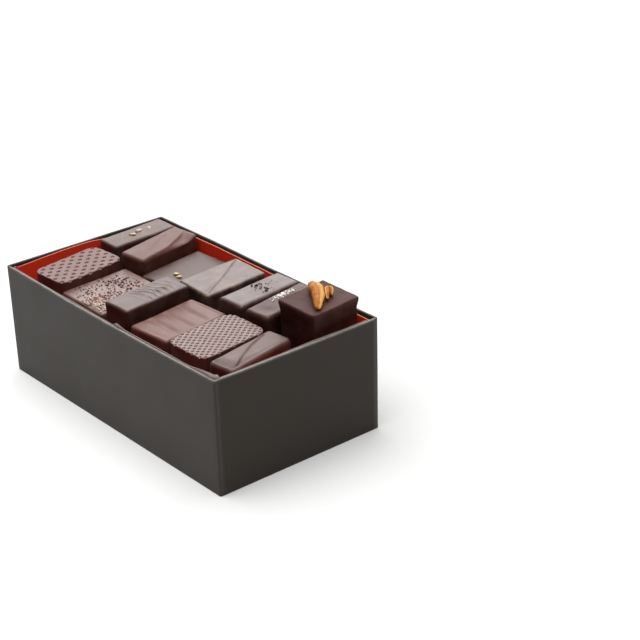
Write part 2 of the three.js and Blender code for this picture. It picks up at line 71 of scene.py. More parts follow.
# A large soft panel of light behind and to the left gives the chocolate its sheen, and a weaker one hangs
# overhead. Almost nothing comes from the front, so the box's near sides only show the pale table.
class Wire:
    """A value in a node tree. Arithmetic on it adds Math nodes, and node() adds any other kind."""

    def __init__(self, tree, socket=None):
        self.tree = tree
        self.socket = socket

    def node(self, kind, settings, inputs, output=0):
        made = self.tree.nodes.new(kind)
        for name, value in settings.items():
            setattr(made, name, value)
        for key, value in inputs.items():
            if isinstance(value, Wire):
                self.tree.links.new(value.socket, made.inputs[key])
            else:
                made.inputs[key].default_value = value
        return Wire(self.tree, made.outputs[output] if made.outputs else None)

    def math(self, operation, *values, clamp=False):
        settings = {"operation": operation, "use_clamp": clamp}
        return self.node("ShaderNodeMath", settings, dict(enumerate(values)))

    def __add__(self, other):
        return self.math("ADD", self, other)

    def __sub__(self, other):
        return self.math("SUBTRACT", self, other)

    def __mul__(self, other):
        return self.math("MULTIPLY", self, other)

    def __truediv__(self, other):
        return self.math("DIVIDE", self, other)

    def __pow__(self, other):
        return self.math("POWER", self, other)

    __radd__ = __add__
    __rmul__ = __mul__

    def ramp(self, low, high):
        """0 where this value is under low, 1 where it is over high, and even between."""
        return self.math("ADD", (self - low) / (high - low), 0, clamp=True)

    def mixed(self, first, second):
        """The colour first where this value is 0 and second where it is 1."""
        colors = {0: self}
        for key, value in ((6, first), (7, second)):
            colors[key] = value if isinstance(value, Wire) else (*value, 1)
        return self.node("ShaderNodeMix", {"data_type": "RGBA"}, colors, 2)


world = bpy.data.worlds.new("studio")
world.use_nodes = True
world.node_tree.nodes.clear()
bpy.context.scene.world = world
studio = Wire(world.node_tree)
heading = studio.node("ShaderNodeTexCoord", {}, {}, "Generated")


def panel(towards, sharpness):
    """A soft round panel of light in one direction, 1 at its middle."""
    aim = {0: heading, 1: Vector(towards).normalized()}
    facing = heading.node("ShaderNodeVectorMath", {"operation": "DOT_PRODUCT"}, aim, "Value")
    return facing.math("MAXIMUM", facing, 0) ** sharpness


BACK_PANEL = 4.9
TOP_PANEL = 1.6
ROUND_LIGHT = 0.018
STUDIO_WHITE = (1, 0.995, 0.985, 1)
radiance = (
    ROUND_LIGHT
    + BACK_PANEL * panel((-0.64, 0.56, 0.53), sharpness=7)
    + TOP_PANEL * panel((-0.1, 0.1, 1), sharpness=3)
)
background = studio.node("ShaderNodeBackground", {}, {"Color": STUDIO_WHITE, "Strength": radiance})
studio.node("ShaderNodeOutputWorld", {}, {"Surface": background})


# The table is a wide pale sheet. Its tone is low and a strong lamp of its own makes it white, so little
# light goes round between it and the box, and its faint glow shows as a sheen on the box's paper.
FLOOR_REACH = 3.0
FLOOR_DROP = 0.05 * MM
FLOOR_TONE = (0.06, 0.06, 0.0595)
FLOOR_GLOW = 0.14


def finish_named(name):
    """A new material with an empty node tree, and a wire to build it from."""
    material = bpy.data.materials.new(name)
    material.use_nodes = True
    material.node_tree.nodes.clear()
    return material, Wire(material.node_tree)


def coat_with(wire, inputs):
    """Ends a material in one shader with these sockets."""
    shader = wire.node("ShaderNodeBsdfPrincipled", {}, inputs)
    wire.node("ShaderNodeOutputMaterial", {}, {"Surface": shader})


def speckle(wire, size, detail=2.0):
    """Cloudy noise from 0 to 1 with lumps of about this size in millimetres, fixed to the piece."""
    place = wire.node("ShaderNodeTexCoord", {}, {}, "Object")
    inputs = {"Vector": place, "Scale": 1 / (size * MM), "Detail": detail}
    return wire.node("ShaderNodeTexNoise", {}, inputs)


def floor_finish():
    material, wire = finish_named("pale_floor")
    shade = speckle(wire, 90).mixed([0.98 * c for c in FLOOR_TONE], FLOOR_TONE)
    coat_with(wire, {"Base Color": shade, "Roughness": 0.9, "Specular IOR Level": 0.0,
                     "Emission Color": (1, 1, 0.99, 1), "Emission Strength": FLOOR_GLOW})
    return material


floor_mesh = bpy.data.meshes.new("floor")
floor_net = bmesh.new()
bmesh.ops.create_grid(floor_net, x_segments=8, y_segments=8, size=FLOOR_REACH)
floor_net.to_mesh(floor_mesh)
floor_net.free()
floor = bpy.data.objects.new("floor", floor_mesh)
floor.location.z = -FLOOR_DROP
floor_mesh.materials.append(floor_finish())
bpy.context.scene.collection.objects.link(floor)


# Two wide lamps hang overhead. A weak one lights everything, and a strong one to the front left lights
# the table alone, so the box stands in a soft and narrow shadow.
def overhead(name, energy, spread, towards):
    """A soft sun over the table. It spreads over this many degrees, and lies in this direction."""
    lamp = bpy.data.lights.new(name, "SUN")
    lamp.energy = energy
    lamp.angle = math.radians(spread)
    holder = bpy.data.objects.new(name, lamp)
    holder.rotation_euler = Vector(towards).to_track_quat("Z", "Y").to_euler()
    bpy.context.scene.collection.objects.link(holder)
    return holder


overhead("top_light", energy=2.9, spread=60, towards=(0.05, 0.12, 1))
table_light = overhead("table_light", energy=48, spread=84, towards=(-0.2, -0.24, 1))
table_only = bpy.data.collections.new("table_only")
table_only.objects.link(floor)
table_light.light_linking.receiver_collection = table_only


# The tray is the lower half of the box: greyboard walls and floor covered in dark grey paper, which is
# wrapped over the rim and down inside. The paper of each short side is a panel of its own, laid on last,
# and painted darker as painted shade. A painted highlight pales the paper along the fold of the rim,
# strongest at the front and on the right, and the seams of the end panels show faint pale lines.
TRAY_LENGTH = 164
TRAY_WIDTH = 90
TRAY_HEIGHT = 55.2
WALL_LEAN = 0.3
BOARD = 1.4
TRAY_CORNER = 0.9
CORNER_STEPS = 6
TRAY_EDGE = 0.4
PAPER = 0.1
PANEL_EDGE = 43.4
SEAM = 0.12
FRONT_BOW = 0.9
WALL_WANDER = 0.1
RIM_WANDER = 0.05
RIM_ZONE = 50
FOLD_BAND = 1.1
FOLD_WIDTH = 0.5
# How strong the painted highlight along the rim's fold is, at the front and right rims and on the others.
LIT_RIM_HIGHLIGHT = 0.36
DIM_RIM_HIGHLIGHT = 0.03
SEAM_WEAR = 0.05


def linear(red, green, blue):
    """The linear colour of an 8-bit screen colour."""
    return tuple(c / 12.92 if c < 0.04045 else ((c + 0.055) / 1.055) ** 2.4
                 for c in (red / 255, green / 255, blue / 255))


def build(name, points, faces, finishes, matrix=None, face_finish=None, marks=None, facets=False):
    """Makes a piece from points in millimetres. face_finish picks a material for each face, and marks
    are values kept at each point for its material."""
    mesh = bpy.data.meshes.new(name)
    mesh.from_pydata((np.asarray(points) * MM).tolist(), [], faces)
    for finish in finishes:
        mesh.materials.append(finish)
    if face_finish is not None:
        mesh.polygons.foreach_set("material_index", np.asarray(face_finish, np.int32))
    mesh.polygons.foreach_set("use_smooth", np.full(len(mesh.polygons), not facets))
    for mark, values in (marks or {}).items():
        layer = mesh.attributes.new(mark, "FLOAT", "POINT")
        layer.data.foreach_set("value", np.asarray(values, np.float32))
    mesh.update()
    piece = bpy.data.objects.new(name, mesh)
    bpy.context.scene.collection.objects.link(piece)
    if matrix is not None:
        piece.matrix_world = matrix
    return piece


def rim_line(half_x, half_y, radius, runs_x, runs_y):
    """Points and outward directions round a rounded rectangle, anticlockwise from its -Y side. runs_x
    and runs_y are the places along the straight sides."""
    points, normals = [], []
    sides = [(0, -1, runs_x), (1, 0, runs_y), (0, 1, runs_x[::-1]), (-1, 0, runs_y[::-1])]
    for out_x, out_y, runs in sides:
        for run in runs:
            points.append((run, out_y * half_y) if out_y else (out_x * half_x, run))
            normals.append((out_x, out_y))
        start = math.atan2(out_y, out_x)
        centre_x = (half_x - radius) * (1 if (out_x, out_y) in ((0, -1), (1, 0)) else -1)
        centre_y = (half_y - radius) * (1 if (out_x, out_y) in ((1, 0), (0, 1)) else -1)
        for k in range(1, CORNER_STEPS):
            angle = start + math.pi / 2 * k / CORNER_STEPS
            normals.append((math.cos(angle), math.sin(angle)))
            points.append((centre_x + radius * math.cos(angle), centre_y + radius * math.sin(angle)))
    return np.array(points), np.array(normals)


def band(upper, lower):
    """Faces between two loops of points, the upper one above or inside the lower."""
    return np.stack([lower, np.roll(lower, -1), np.roll(upper, -1), upper], -1).tolist()


def fan(loop, middle):
    """Faces that close a loop of points round one middle point, seen from below."""
    return [[middle, after, here] for here, after in zip(loop, np.roll(loop, -1))]


def tube(rings, count):
    """Faces between rings of points that follow one another, each ring above or inside the last."""
    loops = np.arange(rings * count).reshape(rings, count)
    faces = []
    for lower, upper in zip(loops, loops[1:]):
        faces += band(upper, lower)
    return faces


def waves(seed, longest, shortest, count=10):
    """A smooth uneven field of height about 1: a few waves of different lengths and headings."""
    draw = np.random.default_rng(seed)
    headings = draw.standard_normal((count, 3))
    headings /= np.linalg.norm(headings, axis=1)[:, None]
    lengths = np.geomspace(longest, shortest, count)
    turns = headings * (2 * np.pi / lengths)[:, None]
    starts = draw.uniform(0, 2 * np.pi, count)
    weights = lengths ** 0.6 / np.sqrt((lengths ** 1.2).sum() / 2)
    return lambda points: np.sin(points @ turns.T + starts) @ weights


def bumps(height, strength, depth):
    """Fine relief on a finish from a value in its tree, with its depth in millimetres."""
    inputs = {"Strength": strength, "Distance": depth * MM, "Height": height}
    return height.node("ShaderNodeBump", {}, inputs)


def dark_paper(name, tone, sheen):
    """Matt grey paper with a fine grain, paled by a painted highlight along the folded rim and by faint
    pale seam lines.
    """
    material, wire = finish_named(name)
    grain = speckle(wire, 0.35, 4)
    cloud = speckle(wire, 14)
    base = cloud.mixed(tone, [1.15 * c for c in tone])
    sheen_and_wear = wire.node("ShaderNodeAttribute", {"attribute_name": "sheen_and_wear"}, {}, "Fac")
    # The mark read here is a painted highlight along the rim's fold, with faint pale seam lines.
    greyed = sheen_and_wear * (0.5 + 0.5 * speckle(wire, 5, 4).ramp(0.3, 0.7))
    cover = grain.ramp(0.2, 0.9).mixed(base, [1.35 * c for c in tone])
    shade = greyed.mixed(cover, linear(176, 171, 165))
    bump = bumps(grain, strength=0.12, depth=0.03)
    coat_with(wire, {"Base Color": shade, "Roughness": 0.46 + 0.1 * cloud, "Normal": bump,
                     "Specular IOR Level": sheen})
    return material


def wall_levels():
    """How far in and how high each ring of the tray's skin lies: up the outside, over the rim, down."""
    bends = [math.pi / 2 * k / 4 for k in range(5)]
    soft = [TRAY_EDGE * (1 - math.sin(a)) for a in bends]
    levels = [(s, t) for s, t in zip(soft, soft[::-1])]
    levels += [(0, z) for z in np.linspace(TRAY_EDGE, TRAY_HEIGHT - FOLD_BAND, 30)[1:]]
    levels += [(t, TRAY_HEIGHT - s) for s, t in zip(soft, soft[::-1])]
    levels += [(BOARD / 2, TRAY_HEIGHT + 0.02)]
    levels += [(BOARD - s, TRAY_HEIGHT - t) for s, t in zip(soft, soft[::-1])]
    levels += [(BOARD, z) for z in np.linspace(TRAY_HEIGHT - TRAY_EDGE, BOARD, 24)[1:]]
    return levels


def front_belly(x, y, half_length):
    """How far the long front wall bulges, most in its middle."""
    return FRONT_BOW * (1 - (x / half_length) ** 2) * (y < 0)


def make_tray():
    runs_x = np.linspace(TRAY_CORNER - TRAY_LENGTH / 2, TRAY_LENGTH / 2 - TRAY_CORNER, 60)
    seams = [side * PANEL_EDGE + step for side in (-1, 1) for step in (-SEAM / 2, SEAM / 2)]
    end = TRAY_WIDTH / 2 - TRAY_CORNER
    runs_y = np.unique(np.concatenate([np.linspace(-end, end, 36), seams]))
    line, out = rim_line(TRAY_LENGTH / 2, TRAY_WIDTH / 2, TRAY_CORNER, runs_x, runs_y)
    at_end = np.abs(out[:, 0]) > 0.9
    panel_here = (np.abs(line[:, 1]) < PANEL_EDGE) & at_end
    seam_here = (np.abs(np.abs(line[:, 1]) - PANEL_EDGE) < SEAM) & at_end
    highlit_rims = (line[:, 0] > 1 - TRAY_LENGTH / 2) & (line[:, 1] < TRAY_WIDTH / 2 - 1)
    # A painted highlight along the rim's fold: strong at the front and right rims, faint on the others.
    fold_highlight = np.where(highlit_rims, LIT_RIM_HIGHLIGHT, DIM_RIM_HIGHLIGHT)
    belly = front_belly(line[:, 0], line[:, 1], TRAY_LENGTH / 2)
    bow = waves(3, longest=130, shortest=30, count=7)
    points, sheen_and_wear, paper = [], [], []
    for inset, z in wall_levels():
        outside = inset < BOARD / 2
        ring = line + out * (WALL_LEAN * z / TRAY_HEIGHT - inset)
        at = np.column_stack([ring, np.full(len(ring), z)])
        ring += out * (WALL_WANDER * bow(at) - WALL_WANDER + belly)[:, None] * (z / TRAY_HEIGHT)
        ring -= out * (outside * np.where(panel_here, 0, PAPER))[:, None]
        height = z + RIM_WANDER * (z > RIM_ZONE) * bow(at * 1.7) - RIM_WANDER
        points.append(np.column_stack([ring, np.full(len(ring), height)]))
        fold = np.exp(-(((z - TRAY_HEIGHT) / FOLD_WIDTH) ** 2)) if inset < BOARD else 0
        sheen_and_wear.append(np.maximum(outside * seam_here * SEAM_WEAR, fold_highlight * fold))
        on_panel = panel_here & np.roll(panel_here, -1) & outside
        paper.append(np.where(z > TRAY_HEIGHT - TRAY_EDGE / 2, 2, on_panel))
    count = len(line)
    rings = len(points)
    middles = [(0, 0, 0), (0, 0, BOARD)]
    points = np.vstack([*points, middles])
    points[:, 2] = np.maximum(points[:, 2], 0)
    base = rings * count
    faces = tube(rings, count) + fan(np.arange(count), base)
    faces += fan(np.arange(base - count, base)[::-1], base + 1)
    papers = [
        dark_paper("side_paper", linear(45, 39, 34), 0.31),
        # The end panels' paper is a darker copy of the side paper: painted shade.
        dark_paper("shaded_end_paper", linear(40, 33, 27), 0.23),
        dark_paper("rim_paper", linear(42, 38, 34), 0.12),
    ]
    pick = np.concatenate([*paper[:-1], np.zeros(2 * count)])
    marks = {"sheen_and_wear": np.concatenate([*sheen_and_wear, [0, 0]])}
    tray = build("tray_paper", points, faces, papers, face_finish=pick, marks=marks)
    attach(tray, "root")
    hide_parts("tray")


make_tray()


# The lining is a loose ring of thin card standing inside the walls, red on its inner side and pale on its
# back. Its cut edge is rubbed grey at the front and on the right, and it stands a little above the rim in
# two places at the front. The inner side of the front sheet is painted shade: a darker copy of the red,
# so that it throws only a weak glow.
CARD = 0.6
CARD_CORNER = 1.6
FREE_GAP = 0.3
CARD_RINGS = 14
CARD_WANDER = 0.08
CARD_SWAY = 0.1
BOW_FOLLOWED = 0.9
TAB_PLACE = 9
TAB_HEIGHT = 2.0
NEAR_CORNER_RISE = 1.8


def smooth_step(value, low, high):
    """0 up to low, 1 from high on, and a soft rise between."""
    share = np.clip((value - low) / (high - low), 0, 1)
    return share * share * (3 - 2 * share)


def card_top(x, y):
    """Height of the card's top edge against the rim, by the wall that it stands at."""
    tab = TAB_HEIGHT * np.maximum(0, 1 - np.abs(x - TAB_PLACE) / np.where(x < TAB_PLACE, 3, 7))
    front = -0.9 + 0.5 * smooth_step(x, TAB_PLACE, 16) + tab + NEAR_CORNER_RISE * smooth_step(x, 60, 80)
    back = -1.35 - 0.45 * x / (TRAY_LENGTH / 2)
    left = -0.4 - 1.5 * np.maximum(0, -y / (TRAY_WIDTH / 2)) ** 2 - smooth_step(y, 0, 12)
    end_wall = np.where(x < 0, left, -0.5)
    near_front = y < 4 - TRAY_WIDTH / 2
    near_back = y > TRAY_WIDTH / 2 - 4
    return np.where(near_front, front, np.where(near_back, back, end_wall))


def red_card(name, tone):
    """Uncoated red card, a little cloudy and fibrous."""
    material, wire = finish_named(name)
    fibre = speckle(wire, 0.5, 4)
    shade = speckle(wire, 9).mixed([0.9 * c for c in tone], tone)
    shade = fibre.ramp(0.35, 0.8).mixed(shade, [1.08 * c + 0.01 for c in tone])
    bump = bumps(fibre, strength=0.1, depth=0.03)
    coat_with(wire, {"Base Color": shade, "Roughness": 0.6 + 0.1 * fibre, "Normal": bump,
                     "Specular IOR Level": 0.15})
    return material


def cut_card(name, dull, pale):
    """The card's cut edge, where the red soaks into a duller core or is rubbed off it."""
    material, wire = finish_named(name)
    shade = speckle(wire, 0.8, 4).mixed(dull, pale)
    coat_with(wire, {"Base Color": shade, "Roughness": 0.8, "Specular IOR Level": 0.2})
    return material


def card_back():
    """The plain pale back of the card."""
    material, wire = finish_named("card_back")
    shade = speckle(wire, 0.6, 4).mixed(linear(196, 184, 181), linear(210, 198, 195))
    coat_with(wire, {"Base Color": shade, "Roughness": 0.75})
    return material


def make_lining():
    half_x = TRAY_LENGTH / 2 - BOARD - FREE_GAP
    half_y = TRAY_WIDTH / 2 - BOARD - FREE_GAP
    runs_x = np.linspace(CARD_CORNER - half_x, half_x - CARD_CORNER, 110)
    runs_y = np.linspace(CARD_CORNER - half_y, half_y - CARD_CORNER, 60)
    line, out = rim_line(half_x, half_y, CARD_CORNER, runs_x, runs_y)
    foot = BOARD + FREE_GAP
    wander = waves(8, longest=60, shortest=9, count=9)
    flat = np.column_stack([line, np.zeros(len(line))])
    top = TRAY_HEIGHT + card_top(line[:, 0], line[:, 1]) + CARD_WANDER * wander(flat)
    sway = CARD_SWAY * wander(flat + 40)
    belly = front_belly(line[:, 0], line[:, 1], half_x)
    rise = np.linspace(0, 1, CARD_RINGS)
    rings = []
    for inset, shares in ((0, rise), (CARD, rise[::-1])):
        for share in shares:
            push = inset + CARD_SWAY - (sway + BOW_FOLLOWED * belly) * share ** 2
            rings.append(np.column_stack([line - out * push[:, None], foot + (top - foot) * share]))
    count = len(line)
    steps = len(rings)
    faces = (np.array(tube(steps + 1, count)) % (steps * count)).tolist()
    red, cut, back, shaded, rubbed_cut = range(5)
    finishes = [
        red_card("red_card", linear(250, 62, 30)),
        cut_card("cut_card", linear(168, 84, 66), linear(186, 116, 98)),
        card_back(),
        # The front sheet's inner side: the red card painted darker, as painted shade.
        red_card("shaded_card", linear(126, 24, 15)),
        cut_card("rubbed_cut_card", linear(86, 72, 70), linear(98, 84, 81)),
    ]
    cut_strip = CARD_RINGS - 1
    strip = np.repeat(np.arange(steps), count)
    at_front = np.tile(out[:, 1] < -0.9, steps)
    greyed = np.tile((out[:, 1] < -0.1) | (out[:, 0] > 0.9), steps)
    pick = np.where(at_front, shaded, red)
    pick = np.where(strip == cut_strip, np.where(greyed, rubbed_cut, cut), pick)
    pick = np.where(strip < cut_strip, back, pick)
    lining = build("lining_card", np.vstack(rings), faces, finishes, face_finish=pick)
    for edge in lining.data.edges:
        low, high = (index // count for index in edge.vertices)
        if low == high and low in (cut_strip, cut_strip + 1):
            edge.use_edge_sharp = True
    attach(lining, "root")
    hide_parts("lining")


make_lining()


# The first praline is a flat slab cut from a textured sheet, with rounded corners and rows of small oval
# dents. All pralines are a core with a thin coat of chocolate: soft top edges and slightly uneven sides.
BED_TOP = 39.5
PIECE_CORNER = 1.5
PIECE_EDGE = 1.3
FOOT_EDGE = 0.6
SIDE_PITCH = 0.9
FADE_DEPTH = 3
LIP_DEPTH = 5


def sheet(shape):
    """Faces of a sheet of points in rows, and the loop of points round its border."""
    rows = np.arange(shape[0] * shape[1]).reshape(shape)
    corners = [rows[:-1, :-1], rows[:-1, 1:], rows[1:, 1:], rows[1:, :-1]]
    border = np.concatenate([rows[0, :-1], rows[:-1, -1], rows[-1, :0:-1], rows[:0:-1, 0]])
    return np.stack(corners, -1).reshape(-1, 4).tolist(), border


class Praline:
    """Where a praline lies and how large it is, in millimetres and degrees."""

    def __init__(self, name, x, y, top, turn, tip, width, length, edge=PIECE_EDGE, corner=PIECE_CORNER):
        self.name = name
        self.half_x = width / 2
        self.half_y = length / 2
        self.edge = edge
        self.corner = corner
        tip_x, tip_y, turn_z = (math.radians(angle) for angle in (*tip, turn))
        drop = self.half_y * math.sin(tip_x) + self.half_x * math.sin(tip_y)
        self.height = top - BED_TOP - FREE_GAP - drop
        tipped = Matrix.Rotation(tip_x, 4, "X") @ Matrix.Rotation(tip_y, 4, "Y")
        turned = Matrix.Rotation(turn_z, 4, "Z")
        self.matrix = Matrix.Translation(Vector((x, y, top)) * MM) @ turned @ tipped

    def rounded(self, u, v, inset):
        """Where a point (u, v) of a square lies on the praline's plan, drawn in from its sides."""
        radius = max(self.corner - inset, 0.3)
        reach_x, reach_y = self.half_x - inset, self.half_y - inset
        x, y = u * reach_x, v * reach_y
        inner_x = np.clip(x, radius - reach_x, reach_x - radius)
        inner_y = np.clip(y, radius - reach_y, reach_y - radius)
        dx, dy = x - inner_x, y - inner_y
        far = np.maximum(np.hypot(dx, dy), 1e-9)
        pull = np.where(far > 1e-6, np.maximum(np.abs(dx), np.abs(dy)) / far, 1)
        return inner_x + dx * pull, inner_y + dy * pull

    def levels(self):
        """How far in and how high each ring of the sides lies, from the top edge down to the foot."""
        bends = [math.pi / 2 * k / 6 for k in range(1, 7)]
        levels = [(self.edge * (1 - math.sin(a)), -self.edge * (1 - math.cos(a))) for a in bends]
        side = np.arange(self.edge + SIDE_PITCH, self.height - FOOT_EDGE, SIDE_PITCH)
        levels += [(0, -z) for z in side]
        levels += [(0, FOOT_EDGE - self.height), (FOOT_EDGE / 3, FOOT_EDGE / 3 - self.height)]
        levels += [(FOOT_EDGE, -self.height)]
        return levels

    def skin(self, relief, finish, pitch, seed, uneven=0.12, hollow=0.0, lip=0.0, over_edge=False):
        """Builds the praline. relief(x, y) is the height of its top face, uneven is how far the coat
        wanders, hollow is how far the middle of a side is drawn in, and lip how far the top stands out.
        With over_edge the relief runs on over the top edge and fades down the sides."""
        count_x = round(2 * self.half_x / pitch)
        count_y = round(2 * self.half_y / pitch)
        u, v = np.meshgrid(np.linspace(-1, 1, count_x + 1), np.linspace(-1, 1, count_y + 1))
        faces, border = sheet(u.shape)
        u, v = u.ravel(), v.ravel()
        x, y = self.rounded(u, v, self.edge)
        points = [np.column_stack([x, y, relief(x, y)])]
        u, v = u[border], v[border]
        upper = border
        for k, (inset, z) in enumerate(self.levels()):
            under_lip = lip * float(smooth_step(-z, self.edge, self.edge + LIP_DEPTH))
            ring_x, ring_y = self.rounded(u, v, inset + under_lip)
            draw_in = hollow * math.sin(math.pi * -z / self.height)
            ring_x = ring_x - draw_in * np.sign(ring_x) * (np.abs(u) > 0.999) * (1 - v ** 2)
            ring_y = ring_y - draw_in * np.sign(ring_y) * (np.abs(v) > 0.999) * (1 - u ** 2)
            low = relief(ring_x, ring_y) * max(0, 1 + z / FADE_DEPTH) if over_edge else 0
            points.append(np.column_stack([ring_x, ring_y, np.full(len(border), z) + low]))
            lower = len(x) + k * len(border) + np.arange(len(border))
            faces += band(upper, lower)
            upper = lower
        points = np.vstack(points)
        for axis in range(3):
            points[:, axis] += uneven * 0.5 * waves(seed * 10 + axis, longest=28, shortest=4)(points)
        faces += fan(lower, len(points))
        points = np.vstack([points, [0, 0, -self.height]])
        piece = build(self.name + "_coat", points, faces, [finish], self.matrix)
        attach(piece, "root")
        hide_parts(self.name)


def chocolate(name, tone, sheen, bloom=0.3, gloss=0.42):
    """Tempered chocolate: a satin skin, faintly clouded where fat has bloomed, with a fine grain."""
    material, wire = finish_named(name)
    cloud = speckle(wire, 7, 3)
    fine = speckle(wire, 0.7, 5)
    pale = tuple(c * 0.6 + 0.4 * b for c, b in zip(tone, linear(150, 128, 118)))
    shade = (cloud.ramp(0.42, 0.75) * bloom).mixed(tone, pale)
    bump = bumps(fine, strength=0.12, depth=0.08)
    rough = gloss + 0.16 * cloud.ramp(0.3, 0.8) + 0.06 * fine
    coat_with(wire, {"Base Color": shade, "Roughness": rough, "Normal": bump, "Specular IOR Level": sheen,
                     "Specular Tint": (1, 0.94, 0.925, 1)})
    return material


def dents(x, y, along, across, start, turn, half_long, half_short, depth):
    """Oval dents in staggered rows. along and across are the spacings, and turn the lattice's turn."""
    angle = math.radians(turn)
    from_x, from_y = x - start[0], y - start[1]
    s = (from_x * math.cos(angle) + from_y * math.sin(angle)) / across
    t = (from_y * math.cos(angle) - from_x * math.sin(angle)) / along
    nearest = np.full(np.shape(x), 9.0)
    for shift in (0, 0.5):
        ds = (s + shift - np.round(s + shift)) * across
        dt = (t + shift - np.round(t + shift)) * along
        nearest = np.minimum(nearest, np.hypot(ds / half_short, dt / half_long))
    return -depth * (1 - smooth_step(nearest, 0.45, 1.1))


def dotted_top(x, y):
    return dents(x, y, along=6.12, across=5.01, start=(1.2, -14.3), turn=1.5,
                 half_long=1.15, half_short=0.9, depth=0.6)


dotted = Praline("praline_dotted_slab", x=-63.4, y=-16.7, top=52.9, turn=5.6, tip=(1.5, 1.1),
                 width=22.6, length=37.6, edge=0.45, corner=5)
dotted_finish = chocolate("dotted_slab_chocolate", linear(76, 35, 27), sheen=0.53)
dotted.skin(dotted_top, dotted_finish, pitch=0.2, seed=1, over_edge=True)


# The square beside it is flat on top, strewn with dark cocoa nibs, with a little heap of cream and
# reddish crumbs at its front corner that was shaken on while the coat was soft.
def chips(name, spots, finish, matrix, seed, rough=0.16, facets=True):
    """Joins small uneven lumps into one piece. A spot is x, y, z, its three half sizes and its turn."""
    ball = bmesh.new()
    bmesh.ops.create_icosphere(ball, subdivisions=2, radius=1)
    shape = np.array([v.co for v in ball.verts])
    sides = np.array([[v.index for v in f.verts] for f in ball.faces])
    ball.free()
    draw = np.random.default_rng(seed)
    points, faces = [], []
    for index, (x, y, z, a, b, c, turn) in enumerate(spots):
        knobs = 1 + rough * draw.standard_normal((len(shape), 1))
        tilt = Euler((draw.normal(0, 0.35), draw.normal(0, 0.35), turn)).to_matrix()
        points.append((shape * knobs * (a, b, c)) @ np.array(tilt).T + (x, y, z))
        faces.append(sides + index * len(shape))
    piece = build(name, np.vstack(points), np.vstack(faces).tolist(), [finish], matrix, facets=facets)
    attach(piece, "root")


def strewn(seed, count, centre, reach, limit, size, apart, flat=0.7):
    """Spots strewn over a patch of a top face, thickest in its middle and none past the limit. size is
    the range of their radii, and apart how near two may lie."""
    draw = np.random.default_rng(seed)
    spots, taken = [], []
    while len(spots) < count and len(taken) < 40 * count:
        x, y = np.array(centre) + np.array(reach) * (draw.random(2) + draw.random(2) - 1)
        radius = draw.uniform(*size)
        free = all(math.hypot(x - u, y - v) > apart * (radius + r) for u, v, r in taken)
        taken.append((x, y, radius if free else 0))
        if free and abs(x) < limit[0] and abs(y) < limit[1]:
            long = radius * draw.uniform(1.1, 1.7)
            spots.append((x, y, radius * 0.3, long, radius, radius * flat, draw.uniform(0, math.pi)))
    return spots


def crumb(name, dark, light, rough=0.6):
    """Crumbs of mixed tone, one tone running into the next."""
    material, wire = finish_named(name)
    shade = speckle(wire, 2.2, 2).ramp(0.38, 0.62).mixed(dark, light)
    coat_with(wire, {"Base Color": shade, "Roughness": rough})
    return material


def square_top(x, y):
    return 0.03 * np.cos(np.pi * x / 33) * np.cos(np.pi * y / 36)


square = Praline("praline_nib_square", x=-34.9, y=-16.3, top=48.7, turn=0.4, tip=(2.0, 0.7),
                 width=33, length=36.6)
square_finish = chocolate("nib_square_chocolate", linear(86, 55, 49), sheen=0.82, gloss=0.4)
square.skin(square_top, square_finish, pitch=0.45, seed=2)

square_limit = (15.2, 17.0)
nibs = strewn(seed=11, count=140, centre=(-4, -3), reach=(20, 24), limit=square_limit,
              size=(0.2, 0.5), apart=1.2)
nibs += strewn(seed=12, count=34, centre=(-3, 7), reach=(9, 8), limit=square_limit,
               size=(0.25, 0.6), apart=1.1)
nibs += strewn(seed=13, count=28, centre=(4, -6), reach=(5, 8), limit=square_limit,
               size=(0.25, 0.5), apart=1.1)
nib_finish = crumb("cocoa_nib", linear(44, 22, 20), linear(96, 52, 46))
chips("nib_square_nibs", nibs, nib_finish, square.matrix, seed=3)
red_crumbs = strewn(seed=14, count=46, centre=(3, -11), reach=(5.5, 4.5), limit=square_limit,
                    size=(0.3, 0.6), apart=0.9)
red_finish = crumb("red_brown_crumb", linear(104, 46, 38), linear(132, 76, 64))
chips("nib_square_red_crumbs", red_crumbs, red_finish, square.matrix, seed=4)
pale_crumbs = strewn(seed=23, count=96, centre=(8.5, -13.5), reach=(9.5, 5), limit=square_limit,
                     size=(0.3, 0.7), apart=0.9)
pale_finish = crumb("cream_crumb", linear(138, 114, 104), linear(196, 180, 168))
chips("nib_square_pale_crumbs", pale_crumbs, pale_finish, square.matrix, seed=5)


# The tall bar next to it was combed with a spatula: smooth at the front, then drawn into curved ripples
# that bunch and fade unevenly.
RIPPLE_PITCH = 3.5
RIPPLE_HEIGHT = 0.24
FINE_PITCH = 1.6
FINE_HEIGHT = 0.05
ripple_drift = waves(31, longest=26, shortest=6, count=8)
ripple_swell = waves(32, longest=20, shortest=7, count=6)


def within(x, y, half_x, half_y):
    """1 over a top face of these half sizes, falling to 0 at its edges."""
    return np.clip(1 - (x / half_x) ** 6, 0, 1) * np.clip(1 - (y / half_y) ** 12, 0, 1)


def ripples(x, y):
    flat = np.column_stack([x, y, np.zeros_like(x)])
    starts = smooth_step(y, -9, -1)
    bent = y + 0.035 * (x - 4) ** 2 + 0.9 * ripple_drift(flat)
    strength = np.maximum(0.1, 0.6 + 0.6 * ripple_swell(flat))
    coarse = (0.5 + 0.5 * np.sin(2 * np.pi * bent / RIPPLE_PITCH)) ** 2.5
    fine = np.sin(2 * np.pi * (bent + 0.3 * x) / FINE_PITCH + ripple_swell(flat * 1.3))
    return starts * within(x, y, 7.2, 17.4) * strength * (RIPPLE_HEIGHT * coarse + FINE_HEIGHT * fine)


